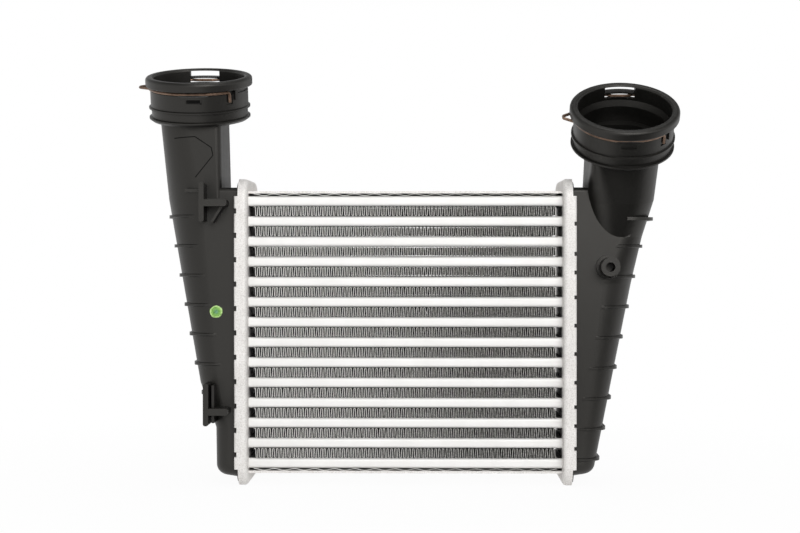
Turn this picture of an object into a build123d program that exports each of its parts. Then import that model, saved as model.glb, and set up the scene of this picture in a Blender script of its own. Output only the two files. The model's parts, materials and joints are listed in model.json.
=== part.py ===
from build123d import *
import os
from math import asin, cos, degrees, radians, sin

# Charge-air cooler of a car engine: a tube-and-fin core between two header pans, each closed by a
# moulded end tank with a hose coupling. X runs along the core, -Y is the front, +Z is up. Heights are
# taken from the foot of the header pans, lengths from the middle of the core, until the last step
# moves the whole cooler over the middle of its own footprint.

# Core
core_length = 202.2
core_depth = 50.0
tube_count = 14
tube_height = 6.5
tube_wall = 0.5
tube_nose_radius = 2.0
tube_end_reach = 1.5
fin_height = 6.5
fin_end_gap = 3.5
fin_stock = 0.6
fin_waves = 18
edge_fin_height = 1.7
edge_fin_waves = 36
side_plate_thickness = 1.5
turbulator_stock = 0.4
turbulator_waves = 5
turbulator_side_gap = 1.7
braze_gap = 0.05

# Header pans
header_height = 197.5
header_depth = 70.0
header_wall = 1.8
header_corner_radius = 13.0
header_edge_radius = 2.5
rim_height = 5.9
tab_reach = 8.3
tab_thickness = 1.6
tab_fold = 5.0
tab_bend_radius = 1.2
tab_row_length = 174.8
left_notch_width = 3.4
left_notch_pitch = 15.6
left_notch_count = 11
right_notch_width = 2.6
right_notch_heights = (24.9, 39.4, 51.5, 67.1, 85.4, 103.5, 121.5, 137.4, 149.3, 168.5)

# Foot of each tank and its gasket
gasket_thickness = 2.0
gasket_width = 4.0
foot_clearance = 0.2
foot_ledge = 5.0

# End tanks: stations are height, reach beyond the core face and corner radius
tank_wall = 2.5
tank_base_radius = 7.0
tank_base_slope = 9.0
tank_roof_height = 192.0
tank_roof_radius = 3.0
right_stations = ((5.0, 20.3, 9.0), (77.0, 34.6, 15.0), (130.0, 45.8, 20.0), (160.0, 52.1, 14.0))
left_stations = (
    (4.0, 21.2, 9.0),
    (37.0, 21.6, 9.0),
    (66.0, 32.3, 13.0),
    (185.0, 54.3, 24.0),
)
rib_thickness = 2.1
rib_height = 2.2
rib_setback = 0.6
right_rib_start = 17.0
right_rib_pitch = 19.6
right_rib_count = 8
left_rib_start = 59.2
left_rib_pitch = 19.05
left_rib_count = 7

# Ducts that rise from the tanks, leaning towards the front
duct_half_depth = 24.5
right_duct_side = 15.9
right_duct_reach = 61.1
right_lean = 33.0
right_mouth = (138.5, -45.0, 242.0)
right_middle = (0.0, -13.6, 186.6)
right_middle_lean = 14.0
right_middle_reach = 58.9
right_shoulder_reach = 43.0
right_shoulder_back = 9.0
left_duct_side = 17.1
left_duct_reach = 58.5
left_lean = 15.0
left_mouth = (-134.5, -15.0, 265.3)
left_shoulder_reach = 18.4
left_shoulder_back = 26.0

# Coupling heads
head_height = 28.5
head_floor = 3.5
head_radius = 31.7
head_bead_radius = 32.85
head_waist_radius = 31.25
rim_radius = 34.6
rim_depth = 6.2
mouth_radius = 29.5
seal_radius = 28.0
seal_depth = 12.5
seal_lead = 4.0
first_bead_depth = 19.8
second_bead_depth = 26.4
bead_width = 2.0
clip_groove_width = 2.6
window_width = 19.5
window_height = 2.8
slot_top = 1.3
slot_bottom = 5.2
pocket_width = 5.0
pocket_height = 9.0
pocket_turn = 45.0
key_width = 2.0
key_height = 6.5
key_turn = 54.0
key_root = 0.5
recess_width = 9.5
recess_height = 2.4
recess_drop = 12.0

# Spring clips of round wire
wire_radius = 0.95
wire_clearance = 0.1
wire_proud = 0.15
clip_kink_width = 17.0
clip_kink_flat = 10.0
front_kink_reach = 30.4
back_kink_reach = 29.1
clip_handle_width = 13.0
clip_handle_reach = 38.3
clip_handle_tip = 3.0
clip_bend_radius = 2.0
clip_tail_drop = 6.3
clip_tail_turn = 12.0
wire_sides = 8

# Mounting lugs on the left tank and screw boss on the right tank, placed by X and height
lug_reach = 16.0
lug_root = 6.0
lug_round = 1.4
upper_flange = (-129.0, 182.2)
upper_flange_size = (3.2, 25.0)
upper_shelf = (-120.6, 181.7)
upper_shelf_size = (14.6, 4.4)
lower_flange = (-126.4, 53.5)
lower_flange_size = (3.4, 27.0)
lower_shelf = (-118.8, 49.0)
lower_shelf_size = (13.0, 4.4)
web_thickness = 1.6
web_reach = 11.0
brace_ends = ((-116.5, 180.0), (-123.0, 169.6))
lower_web = (-122.4, 53.5)
lower_web_height = 24.0
top_rib_reach = 2.2
left_top_rib = (-136.0, 189.9)
left_top_rib_length = 11.0
right_top_rib_height = 171.8
right_top_rib_reach = 56.6
right_top_rib_shift = -6.0
boss_center = (130.0, 141.0)
boss_base_radius = 7.7
boss_base_height = 2.0
boss_radius = 5.9
boss_reach = 14.0
boss_hole_radius = 3.0
boss_hole_depth = 12.0

# Worked out from the sizes above
core_face = core_length / 2
tube_pitch = tube_height + fin_height
stack_height = tube_count * tube_height + (tube_count - 1) * fin_height
stack_bottom = (header_height - stack_height) / 2
tube_heights = [stack_bottom + tube_height / 2 + i * tube_pitch for i in range(tube_count)]
plate_inside = core_face + header_wall
foot_start = plate_inside + gasket_thickness
foot_end = core_face + tab_reach - tab_thickness
foot_depth = header_depth - 2 * (header_wall + foot_clearance)
foot_height = header_height - 2 * (header_wall + foot_clearance)
foot_corner_radius = header_corner_radius - header_wall - foot_clearance
tank_front = foot_depth / 2 - foot_ledge
clip_radius = head_radius + wire_proud
groove_radius = clip_radius - wire_radius - wire_clearance
clip_depth = rim_depth + clip_groove_width / 2


# Core pieces


def corrugated_strip(plane, length, height, waves, stock, width):
    """Strip folded into a zigzag that runs along the plane's x and is extruded through the plane."""
    rise = (height - stock) / 2
    crests = [(length * (i / (2 * waves) - 0.5), rise * (-1) ** i) for i in range(2 * waves + 1)]
    upper = [(x, z + stock / 2) for x, z in crests]
    lower = [(x, z - stock / 2) for x, z in reversed(crests)]
    with BuildPart() as strip:
        with BuildSketch(plane):
            with BuildLine():
                Polyline(*upper, *lower, close=True)
            make_face()
        extrude(amount=width / 2, both=True)
    return strip.part


tube_length = 2 * (plate_inside + tube_end_reach)
with BuildPart() as tube:
    with BuildSketch(Plane.YZ):
        RectangleRounded(core_depth, tube_height, tube_nose_radius)
        RectangleRounded(
            core_depth - 2 * tube_wall,
            tube_height - 2 * tube_wall,
            tube_nose_radius - tube_wall,
            mode=Mode.SUBTRACT,
        )
    extrude(amount=tube_length / 2, both=True)

turbulator = corrugated_strip(
    Plane.YZ,
    core_depth - 2 * (tube_wall + turbulator_side_gap),
    tube_height - 2 * (tube_wall + braze_gap),
    turbulator_waves,
    turbulator_stock,
    tube_length,
)
fin = corrugated_strip(
    Plane.XZ,
    core_length - 2 * fin_end_gap,
    fin_height - 2 * braze_gap,
    fin_waves,
    fin_stock,
    core_depth,
)
edge_fin = corrugated_strip(
    Plane.XZ,
    core_length - 2 * fin_end_gap,
    edge_fin_height - 2 * braze_gap,
    edge_fin_waves,
    fin_stock / 2,
    core_depth,
)

with BuildPart() as side_plate:
    with BuildSketch(Plane.XY):
        Rectangle(core_length, core_depth)
    extrude(amount=side_plate_thickness / 2, both=True)

pieces = []


def place(part, label, height):
    """Copy a core piece to its height in the stack."""
    piece = part.moved(Location((0, 0, height)))
    piece.label = label
    pieces.append(piece)


for number, height in enumerate(tube_heights, start=1):
    place(tube.part, f"charge_tube_{number:02d}", height)
    place(turbulator, f"turbulator_{number:02d}", height)
for number, height in enumerate(tube_heights[:-1], start=1):
    place(fin, f"air_fin_{number:02d}", height + tube_pitch / 2)
for label, side in (("lower", -1), ("upper", 1)):
    edge_fin_offset = (stack_height + edge_fin_height) / 2
    plate_offset = stack_height / 2 + edge_fin_height + side_plate_thickness / 2
    place(edge_fin, f"{label}_edge_fin", header_height / 2 + side * edge_fin_offset)
    place(side_plate.part, f"{label}_side_plate", header_height / 2 + side * plate_offset)


# Header pans and gaskets


def header_pan(side, notch_heights, notch_width):
    """Drawn pan with a slot for each tube and a row of tabs folded over the tank's foot."""
    wall_inside = header_depth / 2 - header_wall
    tab_under = tab_reach - tab_thickness
    with BuildPart() as pan:
        with BuildSketch(Plane.YZ.offset(side * core_face)):
            with Locations((0, header_height / 2)):
                RectangleRounded(header_depth, header_height, header_corner_radius)
        extrude(amount=side * rim_height)
        core_side_face = pan.faces().sort_by(Axis.X, reverse=side < 0)[0]
        fillet(core_side_face.edges(), header_edge_radius)
        with BuildSketch(Plane.YZ.offset(side * plate_inside)):
            with Locations((0, header_height / 2)):
                RectangleRounded(
                    header_depth - 2 * header_wall,
                    header_height - 2 * header_wall,
                    header_corner_radius - header_wall,
                )
        extrude(amount=side * rim_height, mode=Mode.SUBTRACT)
        with BuildSketch(Plane.XY.offset((header_height - tab_row_length) / 2)):
            with BuildLine():
                FilletPolyline(
                    (side * (core_face + rim_height), -header_depth / 2),
                    (side * (core_face + tab_reach), -header_depth / 2),
                    (side * (core_face + tab_reach), tab_fold - header_depth / 2),
                    (side * (core_face + tab_under), tab_fold - header_depth / 2),
                    (side * (core_face + tab_under), -wall_inside),
                    (side * (core_face + rim_height), -wall_inside),
                    radius=(0, tab_bend_radius, 0, 0, 0, 0),
                    close=True,
                )
            make_face()
            mirror(about=Plane.XZ)
        extrude(amount=tab_row_length)
        with BuildSketch(Plane.YZ.offset(side * (core_face + tab_under))):
            with Locations(*[(0, height) for height in notch_heights]):
                Rectangle(header_depth + tab_fold, notch_width)
        extrude(amount=side * 2 * tab_thickness, mode=Mode.SUBTRACT)
        with BuildSketch(Plane.YZ.offset(side * core_face)):
            with Locations(*[(0, height) for height in tube_heights]):
                RectangleRounded(
                    core_depth + 2 * braze_gap,
                    tube_height + 2 * braze_gap,
                    tube_nose_radius + braze_gap,
                )
        extrude(amount=side * header_wall, mode=Mode.SUBTRACT)
    return pan.part


def tank_gasket(side):
    """Flat rubber ring between the header plate and the tank's foot."""
    with BuildPart() as gasket:
        with BuildSketch(Plane.YZ.offset(side * plate_inside)):
            with Locations((0, header_height / 2)):
                RectangleRounded(foot_depth, foot_height, foot_corner_radius)
                RectangleRounded(
                    foot_depth - 2 * gasket_width,
                    foot_height - 2 * gasket_width,
                    foot_corner_radius - gasket_width,
                    mode=Mode.SUBTRACT,
                )
        extrude(amount=side * gasket_thickness)
    return gasket.part


notch_span = left_notch_pitch * (left_notch_count - 1)
left_notch_heights = [
    (header_height - notch_span) / 2 + i * left_notch_pitch for i in range(left_notch_count)
]
for label, side, notch_heights, notch_width in (
    ("left", -1, left_notch_heights, left_notch_width),
    ("right", 1, right_notch_heights, right_notch_width),
):
    pan = header_pan(side, notch_heights, notch_width)
    pan.label = f"{label}_header_pan"
    gasket = tank_gasket(side)
    gasket.label = f"{label}_tank_gasket"
    pieces.extend((pan, gasket))


# Coupling head, upright with the middle of its mouth at the origin

groove_floor = rim_depth + clip_groove_width
with BuildPart() as head:
    with BuildSketch(Plane.XZ):
        with BuildLine():
            FilletPolyline(
                (0, head_floor - head_height),
                (seal_radius, head_floor - head_height),
                (seal_radius, -seal_depth - seal_lead / 2),
                (mouth_radius, -seal_depth + seal_lead / 2),
                (mouth_radius, 0),
                (rim_radius, 0),
                (rim_radius, -rim_depth),
                (groove_radius, -rim_depth),
                (groove_radius, -groove_floor),
                (head_radius, -groove_floor),
                (head_radius, bead_width / 2 - first_bead_depth),
                (head_bead_radius, bead_width / 4 - first_bead_depth),
                (head_bead_radius, -bead_width / 4 - first_bead_depth),
                (head_waist_radius, -bead_width / 2 - first_bead_depth),
                (head_waist_radius, bead_width / 2 - second_bead_depth),
                (head_bead_radius, bead_width / 4 - second_bead_depth),
                (head_bead_radius, -bead_width / 4 - second_bead_depth),
                (groove_radius, -head_height),
                (0, -head_height),
                radius=(0, 0, 0, 0, 1.6, 2.2, 1.0, 0, 0, 0, 0, 0, 0, 0, 0, 0, 0, 0, 0),
                close=True,
            )
        make_face()
    revolve(axis=Axis.Z)
    with BuildSketch(Plane.XZ):
        with Locations((0, -rim_depth - window_height / 2)):
            Rectangle(window_width, window_height)
    extrude(amount=rim_radius, both=True, mode=Mode.SUBTRACT)
    with BuildSketch(Plane.XZ):
        with Locations((0, -(slot_top + slot_bottom) / 2)):
            Rectangle(window_width, slot_bottom - slot_top)
    extrude(amount=-rim_radius, mode=Mode.SUBTRACT)
    with BuildSketch(Plane.XZ.offset(head_radius - 0.8)):
        with Locations((0, -recess_drop)):
            Rectangle(recess_width, recess_height)
    extrude(amount=rim_radius, mode=Mode.SUBTRACT)
    for turn in (pocket_turn, 180 - pocket_turn):
        with BuildSketch(Plane.XZ.rotated((0, 0, turn)).offset(groove_radius)):
            with Locations((0, -rim_depth - pocket_height / 2)):
                Rectangle(pocket_width, pocket_height)
        extrude(amount=rim_radius - groove_radius - 0.5, mode=Mode.SUBTRACT)
    for turn in (key_turn, 180 - key_turn):
        with BuildSketch(Plane.XZ.rotated((0, 0, turn)).offset(groove_radius - key_root)):
            with Locations((0, -rim_depth - key_height / 2)):
                Rectangle(key_width, key_height)
        extrude(amount=head_bead_radius - groove_radius + key_root)


# Spring clip, upright with the middle of its mouth at the origin


def front_point(turn, drop=clip_depth):
    """Point of the wire's circle, turned from the front towards the right by an angle in degrees."""
    return (clip_radius * sin(radians(turn)), -clip_radius * cos(radians(turn)), -drop)


tail_turn = pocket_turn - clip_tail_turn
window_turn = degrees(asin(clip_kink_width / 2 / clip_radius))
handle_turn = degrees(asin(clip_handle_width / 2 / clip_radius)) - 90
tail_end = front_point(pocket_turn, clip_depth + clip_tail_drop)



def clip_half(kink_reach):
    """Front half of a clip, whose wire crosses the window at a given reach; the back half mirrors one."""
    with BuildPart() as half:
        with BuildLine() as path:
            FilletPolyline(
                tail_end, front_point(pocket_turn), front_point(tail_turn), radius=clip_bend_radius
            )
            ThreePointArc(
                front_point(tail_turn),
                front_point((tail_turn + window_turn) / 2),
                front_point(window_turn),
            )
            FilletPolyline(
                front_point(window_turn),
                (clip_kink_flat / 2, -kink_reach, -clip_depth),
                (-clip_kink_flat / 2, -kink_reach, -clip_depth),
                front_point(-window_turn),
                radius=clip_bend_radius,
            )
            ThreePointArc(
                front_point(-window_turn),
                front_point((handle_turn - window_turn) / 2),
                front_point(handle_turn),
            )
            FilletPolyline(
                front_point(handle_turn),
                (-clip_handle_reach, -clip_handle_tip / 2, -clip_depth),
                (-clip_handle_reach, 0, -clip_depth),
                radius=clip_handle_tip / 3,
            )
        with BuildSketch(Plane(tail_end)):
            RegularPolygon(wire_radius, wire_sides)
        sweep(path=path.wires()[0], transition=Transition.RIGHT)
    return half.part


with BuildPart() as clip:
    add(clip_half(front_kink_reach))
    add(mirror(clip_half(back_kink_reach), about=Plane.XZ))


# End tanks


def lean_plane(mouth, lean, drop):
    """Plane across a leaning duct, a given distance below its mouth, with x along the core."""
    tilt = radians(lean)
    mouth_plane = Plane((0, *mouth[1:]), x_dir=(1, 0, 0), z_dir=(0, -sin(tilt), cos(tilt)))
    return mouth_plane.offset(-drop)


def rounded_face(plane, inner, outer, depth, radii):
    """Four-sided face from the core side to the outer side, with one radius for each corner."""
    with BuildSketch(plane) as face:
        with BuildLine():
            FilletPolyline(
                (inner, -depth), (outer, -depth), (outer, depth), (inner, depth), radius=radii, close=True
            )
        make_face()
    return face.sketch


def station_at(stations, height):
    """Reach and corner radius of a tank at a height, between its stations."""
    for (low, *low_sizes), (high, *high_sizes) in zip(stations, stations[1:]):
        if height <= high:
            share = (height - low) / (high - low)
            return [a + share * (b - a) for a, b in zip(low_sizes, high_sizes)]
    return stations[-1][1:]


def chamber_faces(side, stations, inset):
    """Level sections of a tank's chamber, from its floor to where its duct begins."""
    start = (foot_start + foot_end) / 2 if inset == 0 else foot_start - inset
    faces = []
    for index, (height, reach, corner) in enumerate(stations):
        slope = radians(tank_base_slope) if index == 0 else 0
        origin = (side * core_face, 0, height + inset if index == 0 else height)
        along = (cos(slope), 0, side * sin(slope))
        plane = Plane(origin, x_dir=along, z_dir=(-side * sin(slope), 0, cos(slope)))
        inner = side * (start - core_face) / cos(slope)
        outer = side * (reach - inset) / cos(slope)
        radii = (0, corner - inset, corner - inset, 0)
        faces.append(rounded_face(plane, inner, outer, tank_front - inset, radii))
    return faces


def rib_face(side, stations, height):
    """Section of one rib: flush with the flat front of the tank and proud of its rounded side."""
    reach, corner = station_at(stations, height)
    radius = corner + rib_height
    outer = core_face + reach + rib_height
    plane = Plane.XY.offset(height - rib_thickness / 2)
    depth = tank_front - rib_setback
    return rounded_face(plane, side * foot_end, side * outer, depth, (0, radius, radius, 0))


def shoulder_profile(side, start, joint_height, back, inset):
    """Front-to-back profile of the tank's roof beside the duct, sloping down to the back."""
    depth = tank_front - inset
    with BuildSketch(Plane.YZ.offset(side * start)) as profile:
        with BuildLine():
            FilletPolyline(
                (-depth, joint_height),
                (depth, joint_height),
                (back - inset, tank_roof_height - inset),
                (-depth, tank_roof_height - inset),
                radius=(0, 0, 0, tank_roof_radius),
                close=True,
            )
        make_face()
    return profile.sketch


def duct_faces(side, duct, inset):
    """Sections of a duct: level on the tank, then leaning ones up to the floor of its head."""
    inner = core_face + duct["side"] + inset
    joint_height, joint_reach, joint_corner = duct["stations"][-1]
    base_radii = [max(radius - inset, 0.5) for radius in duct["base_radii"]]
    base = Plane.XY.offset(joint_height)
    outer = core_face + joint_reach - inset
    faces = [rounded_face(base, side * inner, side * outer, tank_front - inset, base_radii)]
    top_drop = head_height - head_floor / 3 if inset == 0 else head_height - head_floor * 4 / 3
    levels = [*duct["levels"], (duct["mouth"], top_drop, duct["lean"], duct["reach"], duct["top_radii"])]
    for mouth, drop, lean, reach, radii in levels:
        outer = core_face + reach - inset
        plane = lean_plane(mouth, lean, drop)
        radii = [max(radius - inset, 0.5) for radius in radii]
        depth = duct_half_depth - inset
        faces.append(rounded_face(plane, side * inner, side * outer, depth, radii))
    return faces


def head_place(duct):
    """Where the upright coupling head and its clip go on a duct."""
    tilt = radians(duct["lean"])
    return Location(Plane(duct["mouth"], x_dir=(1, 0, 0), z_dir=(0, -sin(tilt), cos(tilt))))


right_duct = {
    "stations": right_stations,
    "side": right_duct_side,
    "reach": right_duct_reach,
    "mouth": right_mouth,
    "lean": right_lean,
    "base_radii": (21.0, right_stations[-1][2], right_stations[-1][2], 3.0),
    "levels": [(right_middle, 0, right_middle_lean, right_middle_reach, (16.0, 17.0, 17.0, 4.0))],
    "top_radii": (6.0, 20.0, 20.0, 5.0),
    "shoulder": right_shoulder_reach,
}
left_duct = {
    "stations": left_stations,
    "side": left_duct_side,
    "reach": left_duct_reach,
    "mouth": left_mouth,
    "lean": left_lean,
    "base_radii": (3.0, left_stations[-1][2], left_stations[-1][2], 3.0),
    "levels": [],
    "top_radii": (4.0, 20.0, 20.0, 4.0),
    "shoulder": left_shoulder_reach,
}


def end_tank(side, duct, shoulder_back, ribs, extras):
    """One moulding: foot, ribbed chamber, sloping shoulder, duct and coupling head, hollow inside."""
    stations = duct["stations"]
    joint_height = stations[-1][0]
    shoulder_end = core_face + duct["shoulder"]
    roof_space_end = core_face + duct["side"] + 2 * tank_wall
    outer_chamber = chamber_faces(side, stations, 0)
    inner_chamber = chamber_faces(side, stations, tank_wall)
    outer_duct = duct_faces(side, duct, 0)
    inner_duct = duct_faces(side, duct, tank_wall)
    roof = shoulder_profile(side, foot_end - 1, joint_height, shoulder_back, 0)
    roof_space = shoulder_profile(side, foot_start - 1, joint_height, shoulder_back, tank_wall)
    with BuildPart() as tank:
        loft(outer_chamber, ruled=True)
        base_face = tank.faces().sort_by(Axis.Z)[0]
        core_side_edge = base_face.edges().sort_by(Axis.X, reverse=side < 0)[0]
        fillet(base_face.edges() - ShapeList([core_side_edge]), tank_base_radius)
        extrude(roof, amount=side * (shoulder_end - foot_end + 1))
        loft(outer_duct, ruled=True)
        for rib in ribs:
            extrude(rib, amount=rib_thickness)
        with BuildSketch(Plane.YZ.offset(side * foot_start)):
            with Locations((0, header_height / 2)):
                RectangleRounded(foot_depth, foot_height, foot_corner_radius)
        extrude(amount=side * (foot_end - foot_start))
        add(extras)
        loft(inner_chamber, ruled=True, mode=Mode.SUBTRACT)
        extrude(roof_space, amount=side * (roof_space_end - foot_start + 1), mode=Mode.SUBTRACT)
        add(head.part.moved(head_place(duct)))
        loft(inner_duct, ruled=True, mode=Mode.SUBTRACT)
    return tank.part


front = Plane.XZ.offset(tank_front - lug_root)
with BuildPart() as lugs:
    with BuildSketch(front):
        for center, size in (
            (upper_flange, upper_flange_size),
            (upper_shelf, upper_shelf_size),
            (lower_flange, lower_flange_size),
            (lower_shelf, lower_shelf_size),
        ):
            with Locations(center):
                RectangleRounded(*size, lug_round)
    extrude(amount=lug_root + lug_reach)
    with BuildSketch(front):
        with BuildLine():
            Line(*brace_ends)
        trace(line_width=web_thickness)
        with Locations(lower_web):
            Rectangle(web_thickness, lower_web_height)
    extrude(amount=lug_root + web_reach)
    with BuildSketch(front):
        with Locations(left_top_rib):
            Rectangle(left_top_rib_length, rib_thickness)
    extrude(amount=lug_root + top_rib_reach)

with BuildPart() as boss:
    with BuildSketch(front):
        with Locations(boss_center):
            Circle(boss_base_radius)
    extrude(amount=lug_root + boss_base_height)
    with BuildSketch(front):
        with Locations(boss_center):
            Circle(boss_radius)
    extrude(amount=lug_root + boss_reach)
    with BuildSketch(Plane.XZ.offset(tank_front + boss_reach)):
        with Locations(boss_center):
            Circle(boss_hole_radius)
    extrude(amount=-boss_hole_depth, mode=Mode.SUBTRACT)

right_rib_heights = [right_rib_start + i * right_rib_pitch for i in range(right_rib_count)]
right_ribs = [rib_face(1, right_stations, height) for height in right_rib_heights]
top_rib_corner = right_stations[-1][2] + rib_height
top_rib_outer = core_face + right_top_rib_reach + rib_height
right_ribs.append(
    rounded_face(
        Plane((0, right_top_rib_shift, right_top_rib_height - rib_thickness / 2)),
        top_rib_outer - top_rib_corner - rib_height,
        top_rib_outer,
        tank_front,
        (0, top_rib_corner, top_rib_corner, 0),
    )
)
left_rib_heights = [left_rib_start + i * left_rib_pitch for i in range(left_rib_count)]
left_ribs = [rib_face(-1, left_stations, height) for height in left_rib_heights]

for label, side, duct, shoulder_back, ribs, extras in (
    ("left", -1, left_duct, left_shoulder_back, left_ribs, lugs.part),
    ("right", 1, right_duct, right_shoulder_back, right_ribs, boss.part),
):
    tank = end_tank(side, duct, shoulder_back, ribs, extras)
    tank.label = f"{label}_end_tank"
    spring_clip = clip.part.moved(head_place(duct))
    spring_clip.label = f"{label}_spring_clip"
    pieces.extend((tank, spring_clip))


# The cooler stands over the middle of its footprint, and each piece goes to its own file

box = Compound(children=[piece.moved(Location()) for piece in pieces]).bounding_box()
to_origin = Location((-box.center().X, -box.center().Y, -box.min.Z))
print("moved by", to_origin.position)
os.makedirs("parts", exist_ok=True)
for piece in pieces:
    piece.move(to_origin)
    export_step(piece, f"parts/{piece.label}.step")
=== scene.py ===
import json
import math
import random

import bpy
from mathutils import Euler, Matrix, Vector


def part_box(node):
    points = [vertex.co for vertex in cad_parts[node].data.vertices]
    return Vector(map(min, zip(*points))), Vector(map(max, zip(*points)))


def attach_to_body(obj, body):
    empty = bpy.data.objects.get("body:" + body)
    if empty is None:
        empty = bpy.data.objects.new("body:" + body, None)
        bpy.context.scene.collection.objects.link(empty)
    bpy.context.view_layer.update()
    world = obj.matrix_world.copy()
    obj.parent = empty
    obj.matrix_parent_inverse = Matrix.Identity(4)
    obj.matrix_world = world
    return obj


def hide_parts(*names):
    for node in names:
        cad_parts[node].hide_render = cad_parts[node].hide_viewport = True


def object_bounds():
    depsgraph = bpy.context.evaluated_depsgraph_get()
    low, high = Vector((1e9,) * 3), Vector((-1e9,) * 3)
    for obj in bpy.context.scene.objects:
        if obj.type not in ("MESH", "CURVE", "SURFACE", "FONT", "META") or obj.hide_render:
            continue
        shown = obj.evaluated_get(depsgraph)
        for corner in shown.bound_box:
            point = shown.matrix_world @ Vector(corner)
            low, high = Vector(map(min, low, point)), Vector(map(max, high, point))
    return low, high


# Charge-air cooler, dressed for its picture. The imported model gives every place, in metres: +X runs
# along the core to the tank with the screw boss, -Y is the front and +Z is up.

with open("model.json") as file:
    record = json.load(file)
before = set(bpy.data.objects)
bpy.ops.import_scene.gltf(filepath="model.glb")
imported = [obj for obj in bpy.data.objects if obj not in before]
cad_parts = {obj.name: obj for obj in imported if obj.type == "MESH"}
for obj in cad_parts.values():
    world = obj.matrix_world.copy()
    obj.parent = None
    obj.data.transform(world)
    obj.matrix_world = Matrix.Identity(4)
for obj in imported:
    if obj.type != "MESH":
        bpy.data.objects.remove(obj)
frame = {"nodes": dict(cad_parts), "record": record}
cad_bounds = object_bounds()
scene = bpy.context.scene
MM = 0.001

# Camera, worked out from where the photograph's parallel lines meet
camera_place = Vector((12.45, -1015.9, 151.9)) * MM
camera_turn = math.radians(0.88)
camera_dip = math.radians(0.61)
image_width = 800
focal_pixels = 1569
sensor_width = 36.0
clip_span = (0.01, 50)

# Lamps, each by its place and watts
lamp_size = 0.9
lamp_target = Vector((0, 0, 0.14))
lamps = {"front_softbox": ((0.38, -1.5, 0.75), 13.7), "top_softbox": ((0.1, -0.2, 1.5), 5.0)}

# World: its strength as light, and how far its reflections dim from the horizon to straight overhead
world_strength = 0.45
overhead_span = (0.15, 0.85)
overhead_strength = 0.15

# Floor: its reach each way, its gap under the cooler, how much it glows near the cooler, where it still takes
# a shadow, and the distances between which that glow rises to full white
floor_reach = 6.0
floor_gap = 0.05 * MM
floor_glow = 0.955
shadow_span = (0.1, 0.45)

# Cards that only reflections see: a black one on the floor in front and a grey one standing behind
floor_card_sides = (0.03, 0.9)
floor_card_depths = (-2.4, -0.09)
floor_card_shade = 0.01
back_card_sides = (-0.25, 0.8)
back_card_depth = 1.2
back_card_heights = (0.1, 1.6)
back_card_shade = 0.6

# Fins: folded foil with banks of louvres, which tilt one way in front and the other way behind
fin_count = 13
fin_pitch = 2.38 * MM
fin_foil = 0.33 * MM
fin_crest_radius = 0.5 * MM
fold_stray = 0.16 * MM
fin_margin = 1.6 * MM
louvre_end = 0.7 * MM
louvre_count = 11
front_tilt = math.radians(28)
back_tilt = math.radians(-40)
bank_gap = 2.0 * MM
# Places along the core, in metres, between which the fins' painted shade ramps from the left tone to the
# darker right
shade_ramp_span = (-0.06, 0.05)
edge_fin_pitch = 13.3 * MM
edge_fin_foil = 0.36 * MM

# Painted shade of the fin foil, as dark as the folds lie in shadow inside the core: its darkest and palest
# colours
shaded_foil_colors = ((0.006, 0.0059, 0.0053), (0.018, 0.0177, 0.0165))

# Depth, well in front of the cooler, from which a look meets its skin
look_start = -1.0

# Fine line round a mould insert, drawn in painted shade as a groove would show: its lift off the plastic,
# which the other marks share, and its corners along the core and up, in millimetres
mark_lift = 0.05 * MM
mark_step = 1.0 * MM
witness_width = 0.6 * MM
witness_line = [(-148, 223.5), (-134.5, 224.5), (-124, 217.5), (-123, 212.5), (-134.5, 198.5)]

# Inspection paint: its centre, then each ring's share of the radius and its lift, and each wave of the rim
# by how many there are around, how high and where the wave starts
paint_place = Vector((-121.3, 0, 112.1)) * MM
paint_radius = 4.0 * MM
paint_rings = ((1.0, 0.02 * MM), (0.85, 0.16 * MM), (0.4, 0.12 * MM))
paint_peak = 0.1 * MM
paint_waves = ((2, 0.03, 1.0), (5, 0.02, 0.0))

# Painted shade over the floor of the small slot in the left coupling head's band
slot_sides = (-138.3 * MM, -128.6 * MM)
slot_heights = (243.9 * MM, 246.6 * MM)

# Low ridges that carry each side rib on across the tank's front. The profile gives places across the
# ridge as shares of its width, and the rise there as a share of its height. A ridge ends early where the
# tank's front jumps.
ridge_length = 17.0 * MM
ridge_proud = 0.7 * MM
ridge_width = 2.1 * MM
ridge_inset = 2.5 * MM
ridge_step = 1.0 * MM
ridge_fade_steps = 6
ridge_jump = 1.5 * MM
ridge_profile = ((0.5, 0), (0.3, 1), (-0.3, 1), (-0.5, 0))

# Rows of ridges: the side of the core, the lowest ridge's height, the pitch and the count
ridge_rows = {"left": (-1, 78.25 * MM, 19.05 * MM, 6), "right": (1, 17.0 * MM, 19.6 * MM, 8)}


# Node helpers


def attach(owner, node, **inputs):
    """Join outputs to a node's inputs, or set the inputs to plain values."""
    for key, value in inputs.items():
        socket = node.inputs[key.replace("_", " ")]
        if isinstance(value, bpy.types.NodeSocket):
            owner.node_tree.links.new(value, socket)
        else:
            socket.default_value = value


def add_node(owner, kind, settings=None, **inputs):
    """New node of a material or world, with its settings and inputs."""
    made = owner.node_tree.nodes.new(kind)
    for key, value in (settings or {}).items():
        setattr(made, key, value)
    attach(owner, made, **inputs)
    return made


def new_material(name):
    """Empty node material with its principled shader and output already joined."""
    material = bpy.data.materials.new(name)
    material.use_nodes = True
    material.node_tree.nodes.clear()
    output = add_node(material, "ShaderNodeOutputMaterial")
    shader = add_node(material, "ShaderNodeBsdfPrincipled")
    attach(material, output, Surface=shader.outputs["BSDF"])
    return material, shader


def place_of(material, stretch=(1, 1, 1)):
    """Object coordinates, stretched along each axis."""
    coordinates = add_node(material, "ShaderNodeTexCoord")
    mapping = add_node(material, "ShaderNodeMapping", Vector=coordinates.outputs["Object"], Scale=stretch)
    return mapping.outputs["Vector"]


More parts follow.
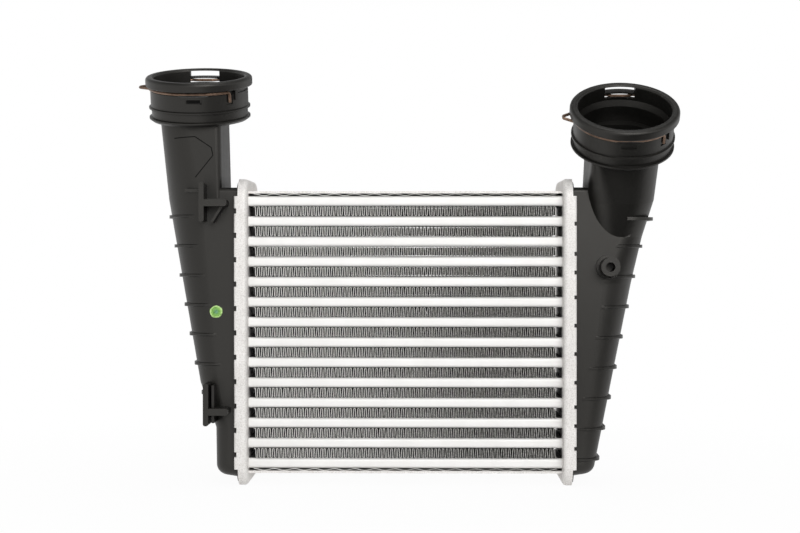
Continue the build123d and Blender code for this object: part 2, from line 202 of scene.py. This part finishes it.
def speckle(material, scale, detail=4.0, roughness=0.55, stretch=(1, 1, 1)):
    """Noise from 0 to 1 over the object, with its scale in cycles per metre."""
    made = add_node(
        material,
        "ShaderNodeTexNoise",
        Vector=place_of(material, stretch),
        Scale=scale,
        Detail=detail,
        Roughness=roughness,
    )
    return made.outputs["Fac"]


def ramp(material, factor, stops):
    """Colour ramp through stops of a position and a colour."""
    made = add_node(material, "ShaderNodeValToRGB", Fac=factor)
    elements = made.color_ramp.elements
    while len(elements) < len(stops):
        elements.new(0.5)
    for element, (position, color) in zip(elements, stops):
        element.position = position
        element.color = (*color, 1)
    return made.outputs["Color"]


def mottle(material, factor, dark, pale, start=0.3, end=0.7):
    """Colour from dark to pale as a factor goes from start to end."""
    return ramp(material, factor, ((start, dark), (end, pale)))


def levels(owner, factor, low, high, start=0.3, end=0.7):
    """Factor between start and end mapped onto low to high."""
    made = add_node(
        owner,
        "ShaderNodeMapRange",
        Value=factor,
        From_Min=start,
        From_Max=end,
        To_Min=low,
        To_Max=high,
    )
    return made.outputs["Result"]


def blend(material, first, second, share=1.0, mode="MIX"):
    """Two colours, mixed by a share or multiplied."""
    settings = {"blend_type": mode}
    made = add_node(material, "ShaderNodeMixRGB", settings, Fac=share, Color1=first, Color2=second)
    return made.outputs["Color"]


def left_to_right(material, left_color, right_color):
    """Blend from one colour to another across the middle of the core."""
    along = add_node(material, "ShaderNodeSeparateXYZ", Vector=place_of(material))
    share = levels(material, along.outputs["X"], 0.0, 1.0, *shade_ramp_span)
    return blend(material, left_color, right_color, share)


def distance(material, vector):
    """Length of a vector."""
    made = add_node(material, "ShaderNodeVectorMath", {"operation": "LENGTH"}, Vector=vector)
    return made.outputs["Value"]


def combine(owner, operation, first, second):
    """One output from two, by an operation such as MAXIMUM."""
    made = add_node(owner, "ShaderNodeMath", {"operation": operation})
    for socket, source in zip(made.inputs, (first, second)):
        owner.node_tree.links.new(source, socket)
    return made.outputs["Value"]


def seen_share(owner):
    """1 for rays that look, straight, in a reflection or through a surface, and 0 for rays that light."""
    rays = add_node(owner, "ShaderNodeLightPath").outputs
    share = combine(owner, "MAXIMUM", rays["Is Camera Ray"], rays["Is Glossy Ray"])
    return combine(owner, "MAXIMUM", share, rays["Is Transmission Ray"])


def relief(material, shader, height, depth, strength=1.0):
    """Bump the surface by a height from 0 to 1, with its depth in metres."""
    made = add_node(material, "ShaderNodeBump", Height=height, Distance=depth, Strength=strength)
    attach(material, shader, Normal=made.outputs["Normal"])


# Materials


def tank_plastic():
    """Black glass-filled plastic with a satin skin, faint flow marks and a fine moulded grain."""
    material, shader = new_material("tank_plastic")
    flow = speckle(material, 26, stretch=(1, 1, 0.35))
    grain = speckle(material, 1500, detail=2.0)
    attach(
        material,
        shader,
        Base_Color=mottle(material, flow, (0.0035, 0.0034, 0.003), (0.0065, 0.0062, 0.0054)),
        Roughness=levels(material, flow, 0.37, 0.47),
        Specular_IOR_Level=0.5,
        Specular_Tint=(1.0, 0.965, 0.91, 1.0),
    )
    relief(material, shader, grain, 0.06 * MM, 0.5)
    return material


def painted_crease_shade():
    """Plastic darkened with painted shade, for the groove of a fine moulded line and the floor of a slot."""
    material, shader = new_material("painted_crease_shade")
    flow = speckle(material, 300)
    color = mottle(material, flow, (0.002, 0.002, 0.0018), (0.005, 0.0048, 0.0044))
    attach(material, shader, Base_Color=color, Roughness=0.7, Specular_IOR_Level=0.08)
    return material


def inspection_paint():
    """Green marking paint, paler at its rim and mottled where it is thin."""
    material, shader = new_material("inspection_paint")
    blots = speckle(material, 900, detail=3.0)
    flat_place = place_of(material, (1, 0, 1))
    out = add_node(material, "ShaderNodeVectorMath", {"operation": "SUBTRACT"}, Vector=flat_place)
    out.inputs[1].default_value = paint_place
    share = levels(material, distance(material, out.outputs["Vector"]), 0.0, 1.0, 0.0, paint_radius)
    stops = (
        (0.1, (0.15, 0.36, 0.22)),
        (0.45, (0.19, 0.43, 0.09)),
        (0.7, (0.27, 0.55, 0.10)),
        (0.88, (0.55, 0.80, 0.30)),
    )
    spread = ramp(material, share, stops)
    thin = mottle(material, blots, (0.45, 0.55, 0.4), (1.0, 1.0, 1.0), 0.38, 0.56)
    attach(
        material,
        shader,
        Base_Color=blend(material, spread, thin, mode="MULTIPLY"),
        Roughness=levels(material, blots, 0.35, 0.6),
    )
    relief(material, shader, blots, 0.12 * MM, 0.6)
    return material


def header_aluminium():
    """Pale sandy aluminium as it leaves the brazing furnace."""
    material, shader = new_material("header_aluminium")
    patches = speckle(material, 60)
    sand = speckle(material, 1300, detail=3.0, roughness=0.7)
    base = mottle(material, patches, (0.79, 0.77, 0.745), (0.90, 0.88, 0.86))
    grit = mottle(material, sand, (0.80, 0.79, 0.775), (1.0, 1.0, 1.0), 0.36, 0.56)
    attach(
        material,
        shader,
        Base_Color=blend(material, base, grit, mode="MULTIPLY"),
        Metallic=0.35,
        Roughness=levels(material, sand, 0.5, 0.68),
    )
    relief(material, shader, sand, 0.16 * MM, 0.7)
    return material


def tube_aluminium():
    """Bright satin tube with light streaks along it, and painted shade, dull grey, on its flats between the
    fins, where the fins keep the light off.
    """
    material, shader = new_material("tube_aluminium")
    streaks = speckle(material, 900, stretch=(0.02, 1, 1))
    stain = speckle(material, 45)
    bright = mottle(material, stain, (0.87, 0.86, 0.835), (0.93, 0.92, 0.90), end=0.65)
    # Painted shade for the flats between the fins, which lie out of the light
    painted_flat_shade = mottle(material, stain, (0.07, 0.068, 0.064), (0.12, 0.118, 0.11), end=0.65)
    coordinates = add_node(material, "ShaderNodeTexCoord")
    facing = add_node(material, "ShaderNodeSeparateXYZ", Vector=coordinates.outputs["Normal"])
    upright = add_node(material, "ShaderNodeMath", {"operation": "ABSOLUTE"}, Value=facing.outputs["Z"])
    # Share of that painted shade, by how upright the normal is, so that only the flats take it
    shaded_flat_share = levels(material, upright.outputs["Value"], 0.0, 1.0, 0.97, 0.995)
    attach(
        material,
        shader,
        Base_Color=blend(material, bright, painted_flat_shade, shaded_flat_share),
        Metallic=0.12,
        Roughness=levels(material, streaks, 0.45, 0.6),
    )
    relief(material, shader, streaks, 0.03 * MM, 0.5)
    return material


def foil_finish(material, shader, color):
    """Half-metallic foil of a given colour, a little uneven from fold to fold."""
    patches = speckle(material, 700, detail=1.0)
    attach(
        material,
        shader,
        Base_Color=color,
        Metallic=0.5,
        Roughness=levels(material, patches, 0.45, 0.65),
        Specular_IOR_Level=0.2,
    )
    relief(material, shader, patches, 0.05 * MM, 0.6)


def stained_foil(name, scale, dark, pale):
    """Foil that goes from dark to pale in stains, with their scale in cycles per metre."""
    material, shader = new_material(name)
    foil_finish(material, shader, mottle(material, speckle(material, scale), dark, pale))
    return material


def fin_louvre():
    """Slats of the fins, dark with painted shade that is lighter towards the left tank and deepest towards
    the right.
    """
    material, shader = new_material("fin_louvre")
    stain = speckle(material, 90)
    right_side_shade = mottle(material, stain, *shaded_foil_colors)
    left_side_tone = mottle(material, stain, (0.015, 0.0148, 0.0142), (0.035, 0.0345, 0.033))
    foil_finish(material, shader, left_to_right(material, left_side_tone, right_side_shade))
    return material


def fin_edge():
    """Bare cut edge of the fin foil, with painted shade that darkens it towards the right tank."""
    material, shader = new_material("fin_edge")
    patches = speckle(material, 900, detail=2.0)
    left_side_tone = mottle(material, patches, (0.72, 0.705, 0.67), (0.92, 0.91, 0.88), end=0.65)
    right_side_shade = mottle(material, patches, (0.24, 0.235, 0.22), (0.58, 0.57, 0.54), end=0.65)
    attach(
        material,
        shader,
        Base_Color=left_to_right(material, left_side_tone, right_side_shade),
        Metallic=0.3,
        Roughness=levels(material, patches, 0.4, 0.6),
    )
    return material


def clip_wire():
    """Copper-coloured spring wire with a slightly uneven coating."""
    material, shader = new_material("clip_wire")
    stain = speckle(material, 220)
    color = mottle(material, stain, (0.12, 0.075, 0.05), (0.25, 0.165, 0.12), 0.35, 0.65)
    attach(material, shader, Base_Color=color, Metallic=0.75, Roughness=levels(material, stain, 0.32, 0.46))
    relief(material, shader, stain, 0.03 * MM, 0.5)
    return material


def gasket_rubber():
    """Dull black rubber."""
    material, shader = new_material("gasket_rubber")
    grain = speckle(material, 900)
    color = mottle(material, grain, (0.015, 0.015, 0.015), (0.03, 0.03, 0.03))
    attach(material, shader, Base_Color=color, Roughness=0.75)
    relief(material, shader, grain, 0.05 * MM)
    return material


def stage_white():
    """Pale floor that reads as the white background and still takes a soft shadow."""
    material, shader = new_material("stage_white")
    attach(material, shader, Base_Color=(0.82, 0.82, 0.82, 1), Roughness=0.9, Specular_IOR_Level=0.1)
    glow = add_node(material, "ShaderNodeEmission", Color=(1, 1, 1, 1), Strength=1.0)
    glow_share = levels(material, distance(material, place_of(material)), floor_glow, 1.0, *shadow_span)
    share = combine(material, "MULTIPLY", seen_share(material), glow_share)
    mix = add_node(material, "ShaderNodeMixShader", Fac=share)
    for socket, source in zip(mix.inputs[1:], (shader.outputs["BSDF"], glow.outputs["Emission"])):
        material.node_tree.links.new(source, socket)
    attach(material, material.node_tree.nodes["Material Output"], Surface=mix.outputs["Shader"])
    return material


materials = {
    "tank_plastic": tank_plastic(),
    "painted_crease_shade": painted_crease_shade(),
    "inspection_paint": inspection_paint(),
    "header_aluminium": header_aluminium(),
    "tube_aluminium": tube_aluminium(),
    # The plain folds of the fins are coloured with painted shade, as dark as their shadowed crests
    "fin_aluminium": stained_foil("fin_aluminium", 70, *shaded_foil_colors),
    "fin_louvre": fin_louvre(),
    "edge_foil": stained_foil("edge_foil", 120, (0.40, 0.393, 0.375), (0.60, 0.59, 0.565)),
    "fin_edge": fin_edge(),
    "clip_wire": clip_wire(),
    "gasket_rubber": gasket_rubber(),
}
materials["plate_aluminium"] = materials["header_aluminium"]
# The turbulators share that painted shade
materials["turbulator_aluminium"] = materials["fin_aluminium"]

for subpart in frame["record"]["subparts"]:
    shape = frame["nodes"][subpart["node"]]
    shape.data.materials.clear()
    shape.data.materials.append(materials[subpart["material_slot"]])


# Pieces


def add_piece(name, vertices, faces, names, smooth=False, others=()):
    """Object from points and faces on the one body; others are the faces of each further material."""
    mesh = bpy.data.meshes.new(name)
    mesh.from_pydata(vertices, [], faces)
    mesh.polygons.foreach_set("use_smooth", [smooth] * len(mesh.polygons))
    for material in names:
        mesh.materials.append(materials[material])
    for number, chosen in enumerate(others, 1):
        for index in chosen:
            mesh.polygons[index].material_index = number
    piece = bpy.data.objects.new(name, mesh)
    scene.collection.objects.link(piece)
    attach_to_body(piece, "root")
    return piece


def add_face(vertices, faces, corners):
    """Add one face with points of its own, so that its edges stay crisp."""
    faces.append(tuple(range(len(vertices), len(vertices) + len(corners))))
    vertices.extend(corners)


def bridge(rows, flip=False):
    """Points and faces of the skin between rows of points."""
    vertices = []
    faces = []
    for first, second in zip(rows, rows[1:]):
        for i in range(len(first) - 1):
            corners = (first[i], second[i], second[i + 1], first[i + 1])
            add_face(vertices, faces, corners[::-1] if flip else corners)
    return vertices, faces


def new_work():
    """Empty lists of a fin's points and faces, and of the faces that are cut edges or slats."""
    return {"vertices": [], "faces": [], "cut_edges": [], "slats": []}


def wave_folds(name, low, high, first_side, steps=3):
    """Crests of a folded foil, each a short arc of points with their normals, joined by steep flanks."""
    chance = random.Random(name)
    count = round((high.x - low.x) / fin_pitch) * 2
    run = (high.x - low.x) / count
    folds = []
    for index in range(count):
        side = first_side * (-1) ** index
        along = low.x + (index + 0.5) * run
        if 0 < index < count - 1:
            along += chance.uniform(-fold_stray, fold_stray)
        center = Vector((along, high.y - fin_crest_radius if side > 0 else low.y + fin_crest_radius))
        fold = []
        for step in range(steps + 1):
            angle = math.pi * (1 - step / steps)
            normal = Vector((math.cos(angle), side * math.sin(angle)))
            fold.append((center + normal * fin_crest_radius, normal * side))
        folds.append(fold)
    return folds


def thick_strip(work, folds, half, start, end):
    """Foil with its real thickness between two depths, closed at both by its bright cut edges."""
    points = [pair for fold in folds for pair in fold]
    upper = [point + normal * half for point, normal in points]
    lower = [point - normal * half for point, normal in points]
    for i in range(len(points) - 1):
        ring = (upper[i], upper[i + 1], lower[i + 1], lower[i])
        near = [(x, start, z) for x, z in ring]
        far = [(x, end, z) for x, z in ring]
        top = (near[0], far[0], far[1], near[1])
        underside = (near[2], far[2], far[3], near[3])
        work["cut_edges"] += [len(work["faces"]), len(work["faces"]) + 1]
        for corners in (near, far[::-1], top, underside):
            add_face(work["vertices"], work["faces"], corners)


def flat_foil(work, first, second, start, end):
    """Plain foil between two places across the fin and two depths."""
    corners = ((first.x, start, first.y), (second.x, start, second.y))
    corners += ((second.x, end, second.y), (first.x, end, first.y))
    add_face(work["vertices"], work["faces"], corners)


def louvre_bank(work, low_point, high_point, start, end, tilt):
    """Row of slats across one flank between two depths, each turned about its own middle."""
    width = (end - start) / louvre_count
    shift = math.sin(tilt) * width / 2
    reach = math.cos(tilt) * width / 2
    for index in range(louvre_count):
        middle = start + (index + 0.5) * width
        corners = (
            (low_point.x - shift, middle - reach, low_point.y),
            (low_point.x + shift, middle + reach, low_point.y),
            (high_point.x + shift, middle + reach, high_point.y),
            (high_point.x - shift, middle - reach, high_point.y),
        )
        work["slats"].append(len(work["faces"]))
        add_face(work["vertices"], work["faces"], corners)


def louvred_half(work, folds, depths, tilt, end_length):
    """Half of a fin inwards from its outer face: thick foil, a bank of louvres, and plain foil."""
    outer, strip_end, bank_end, middle = depths
    strip = sorted((outer, strip_end))
    bank = sorted((strip_end, bank_end))
    plain = sorted((bank_end, middle))
    inside = sorted((strip_end, middle))
    thick_strip(work, folds, fin_foil / 2, *strip)
    for fold, following in zip(folds, folds[1:]):
        for (first, _), (second, _) in zip(fold, fold[1:]):
            flat_foil(work, first, second, *inside)
        top, foot = fold[-1][0], following[0][0]
        inset = (foot - top).normalized() * end_length
        flat_foil(work, top, top + inset, *inside)
        flat_foil(work, foot - inset, foot, *inside)
        flat_foil(work, top + inset, foot - inset, *plain)
        louvre_bank(work, top + inset, foot - inset, *bank, tilt)


def fin_piece(node, work, names):
    """Piece that stands for a plain fin of the model."""
    others = (work["cut_edges"], work["slats"])
    piece = add_piece(f"{node}_folds", work["vertices"], work["faces"], names, others=others)
    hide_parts(node)


def air_fin(node):
    """Louvred fin at its true fold pitch, with its back half offset by half a fold."""
    low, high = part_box(node)
    foil_low = Vector((low.x, low.z + fin_foil / 2))
    foil_high = Vector((high.x, high.z - fin_foil / 2))
    front = low.y + fin_margin
    back = high.y - fin_margin
    middle = (front + back) / 2
    halves = (
        (1, (low.y, front, middle - bank_gap / 2, middle), front_tilt, louvre_end),
        (-1, (high.y, back, middle + bank_gap / 2, middle), back_tilt, 0),
    )
    work = new_work()
    for first_side, depths, tilt, end_length in halves:
        folds = wave_folds(node, foil_low, foil_high, first_side)
        louvred_half(work, folds, depths, tilt, end_length)
    fin_piece(node, work, ("fin_aluminium", "fin_edge", "fin_louvre"))


def edge_fin(node, steps=16):
    """Low rounded wave of bright foil between an end tube and its side plate."""
    low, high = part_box(node)
    half = edge_fin_foil / 2
    length = high.x - low.x
    waves = round(length / edge_fin_pitch)
    middle = (low.z + high.z) / 2
    swing = (high.z - low.z) / 2 - half
    fold = []
    for index in range(waves * steps + 1):
        share = index / (waves * steps)
        turn = 2 * math.pi * waves * share
        slope = -swing * 2 * math.pi * waves / length * math.sin(turn)
        point = Vector((low.x + length * share, middle + swing * math.cos(turn)))
        fold.append((point, Vector((-slope, 1)).normalized()))
    work = new_work()
    thick_strip(work, [fold], half, low.y, high.y)
    fin_piece(node, work, ("edge_foil", "fin_edge"))


for number in range(1, fin_count + 1):
    air_fin(f"air_fin_{number:02d}")
for label in ("lower", "upper"):
    edge_fin(f"{label}_edge_fin")


# Marks and ridges on the tanks


def look_at(node, x, z):
    """Whether a straight look from the front meets a node, and the point and normal there."""
    start = Vector((x, look_start, z))
    hit, point, normal, _ = frame["nodes"][node].ray_cast(start, Vector((0, 1, 0)))
    return hit, point, normal


def skin_point(node, x, z):
    """Point and normal where a straight look from the front meets a node."""
    hit, point, normal = look_at(node, x, z)
    assert hit, f"nothing of {node} at {x}, {z}"
    return point, normal


def witness_mark():
    """Fine line that a mould insert leaves round its face on the duct, drawn in painted shade."""
    corners = [Vector((x * MM, z * MM)) for x, z in witness_line]
    route = []
    for first, second in zip(corners, corners[1:]):
        steps = math.ceil((second - first).length / mark_step)
        route += [first.lerp(second, step / steps) for step in range(steps)]
    route.append(corners[-1])
    rows = []
    for index, place in enumerate(route):
        ahead = route[min(index + 1, len(route) - 1)] - route[max(index - 1, 0)]
        point, normal = skin_point("left_end_tank", place.x, place.y)
        across = normal.cross(Vector((ahead.x, 0, ahead.y))).normalized() * witness_width / 2
        rows.append((point + normal * mark_lift - across, point + normal * mark_lift + across))
    vertices, faces = bridge(rows, flip=True)
    add_piece("left_witness_line", vertices, faces, ("painted_crease_shade",))


def paint_dot(steps=48):
    """Blob of inspection paint with a wavy edge, thin at its rim."""
    center, normal = skin_point("left_end_tank", paint_place.x, paint_place.z)
    rings = []
    for share, lift in paint_rings:
        ring = []
        for step in range(steps):
            turn = 2 * math.pi * step / steps
            wobble = 1 + sum(size * math.sin(count * turn + start) for count, size, start in paint_waves)
            reach = paint_radius * share * wobble
            ring.append(center + Vector((math.cos(turn), 0, math.sin(turn))) * reach + normal * lift)
        rings.append(ring)
    vertices = [point for ring in rings for point in ring] + [center + normal * paint_peak]
    faces = []
    for step in range(steps):
        following = (step + 1) % steps
        for ring in range(len(rings) - 1):
            low, high = ring * steps, (ring + 1) * steps
            faces.append((low + step, low + following, high + following, high + step))
        inner = (len(rings) - 1) * steps
        faces.append((inner + step, inner + following, len(vertices) - 1))
    add_piece("left_paint_dot", vertices, faces, ("inspection_paint",), smooth=True)


def band_slot(steps=8):
    """Painted shade laid over the floor of the small slot in the left coupling head's band."""
    left, right = slot_sides
    foot, head = slot_heights
    rows = []
    for index in range(steps + 1):
        place = left + (right - left) * index / steps
        row = []
        for height in (foot, (foot + head) / 2, head):
            point, normal = skin_point("left_end_tank", place, height)
            row.append(point + normal * mark_lift)
        rows.append(row)
    vertices, faces = bridge(rows)
    add_piece("left_band_slot", vertices, faces, ("painted_crease_shade",))


def front_ridge(name, node, side, height):
    """Low ridge from the side rib inwards over the tank's front, fading out at its inner end."""
    outside = cad_bounds[1 if side > 0 else 0][0] - side * ridge_step
    while not look_at(node, outside, height)[0]:
        outside -= side * ridge_step
    count = round(ridge_length / ridge_step)
    rows = []
    for index in range(count + 1):
        place = outside - side * (ridge_inset + index * ridge_step)
        middle, normal = skin_point(node, place, height)
        if rows and abs(middle.y - rows[-1][1].y + ridge_proud) > ridge_jump:
            break
        proud = ridge_proud * min(1, (count - index) / ridge_fade_steps)
        lift = Vector((normal.x, normal.y, 0)) * proud
        row = []
        for share, rise in ridge_profile:
            point, _ = skin_point(node, place, height + share * ridge_width)
            row.append(point + lift * rise - Vector((0, mark_lift, 0)))
        rows.append(row)
    vertices, faces = bridge(rows, flip=side < 0)
    add_piece(name, vertices, faces, ("tank_plastic",))


witness_mark()
paint_dot()
band_slot()
for label, (side, start, pitch, count) in ridge_rows.items():
    for index in range(count):
        name = f"{label}_front_ridge_{index + 1}"
        front_ridge(name, f"{label}_end_tank", side, start + index * pitch)


# Stage, camera and lamps


def level_corners(sides, depths, height):
    """Corners of a level rectangle, in turn as seen from above."""
    left, right = sides
    near, far = depths
    return [(left, near, height), (right, near, height), (right, far, height), (left, far, height)]


def upright_corners(sides, depth, heights):
    """Corners of an upright rectangle, in turn as seen from the front."""
    left, right = sides
    foot, head = heights
    return [(left, depth, foot), (right, depth, foot), (right, depth, head), (left, depth, head)]


def sheet(name, corners, material):
    """Flat sheet of the stage, which isn't part of the cooler."""
    mesh = bpy.data.meshes.new(name)
    mesh.from_pydata(corners, [], [(0, 1, 2, 3)])
    mesh.materials.append(material)
    made = bpy.data.objects.new(name, mesh)
    scene.collection.objects.link(made)
    return made


def reflection_card(name, corners, shade):
    """Card seen only in reflections, which keeps the plastic as dark as the studio made it."""
    material, shader = new_material(name)
    attach(material, shader, Base_Color=(shade, shade, shade, 1), Roughness=0.9, Specular_IOR_Level=0.0)
    card = sheet(name, corners, material)
    card.visible_camera = False
    card.visible_diffuse = False
    card.visible_shadow = False


def lamp(name, place, power):
    """Square area lamp aimed at the cooler."""
    data = bpy.data.lights.new(name, "AREA")
    data.energy = power
    data.size = lamp_size
    light = bpy.data.objects.new(name, data)
    light.location = place
    light.rotation_euler = (lamp_target - Vector(place)).to_track_quat("-Z", "Y").to_euler()
    scene.collection.objects.link(light)


def world_light():
    """White studio around the cooler: full white where it is seen, softer where it lights."""
    world = bpy.data.worlds.new("studio")
    scene.world = world
    world.use_nodes = True
    world.node_tree.nodes.clear()
    place = add_node(world, "ShaderNodeTexCoord")
    height = add_node(world, "ShaderNodeSeparateXYZ", Vector=place.outputs["Generated"])
    overhead = levels(world, height.outputs["Z"], 1.0, overhead_strength, *overhead_span)
    strength = levels(world, seen_share(world), world_strength, overhead, 0.0, 1.0)
    background = add_node(world, "ShaderNodeBackground", Color=(1, 1, 1, 1), Strength=strength)
    add_node(world, "ShaderNodeOutputWorld", Surface=background.outputs["Background"])


def add_camera():
    """Camera at the photograph's place, aimed along the depth of the cooler."""
    data = bpy.data.cameras.new("camera")
    data.sensor_width = sensor_width
    data.lens = sensor_width * focal_pixels / image_width
    data.clip_start, data.clip_end = clip_span
    camera = bpy.data.objects.new("camera", data)
    camera.location = camera_place
    camera.rotation_euler = Euler((math.pi / 2 - camera_dip, 0, camera_turn))
    scene.collection.objects.link(camera)
    scene.camera = camera


ground = cad_bounds[0][2]
floor_span = (-floor_reach, floor_reach)
sheet("stage_floor", level_corners(floor_span, floor_span, ground - floor_gap), stage_white())
floor_card_corners = level_corners(floor_card_sides, floor_card_depths, ground)
reflection_card("floor_card", floor_card_corners, floor_card_shade)
back_card_corners = upright_corners(back_card_sides, back_card_depth, back_card_heights)
reflection_card("back_card", back_card_corners, back_card_shade)
world_light()
for name, (place, power) in lamps.items():
    lamp(name, place, power)
add_camera()

scene.view_settings.view_transform = "Standard"
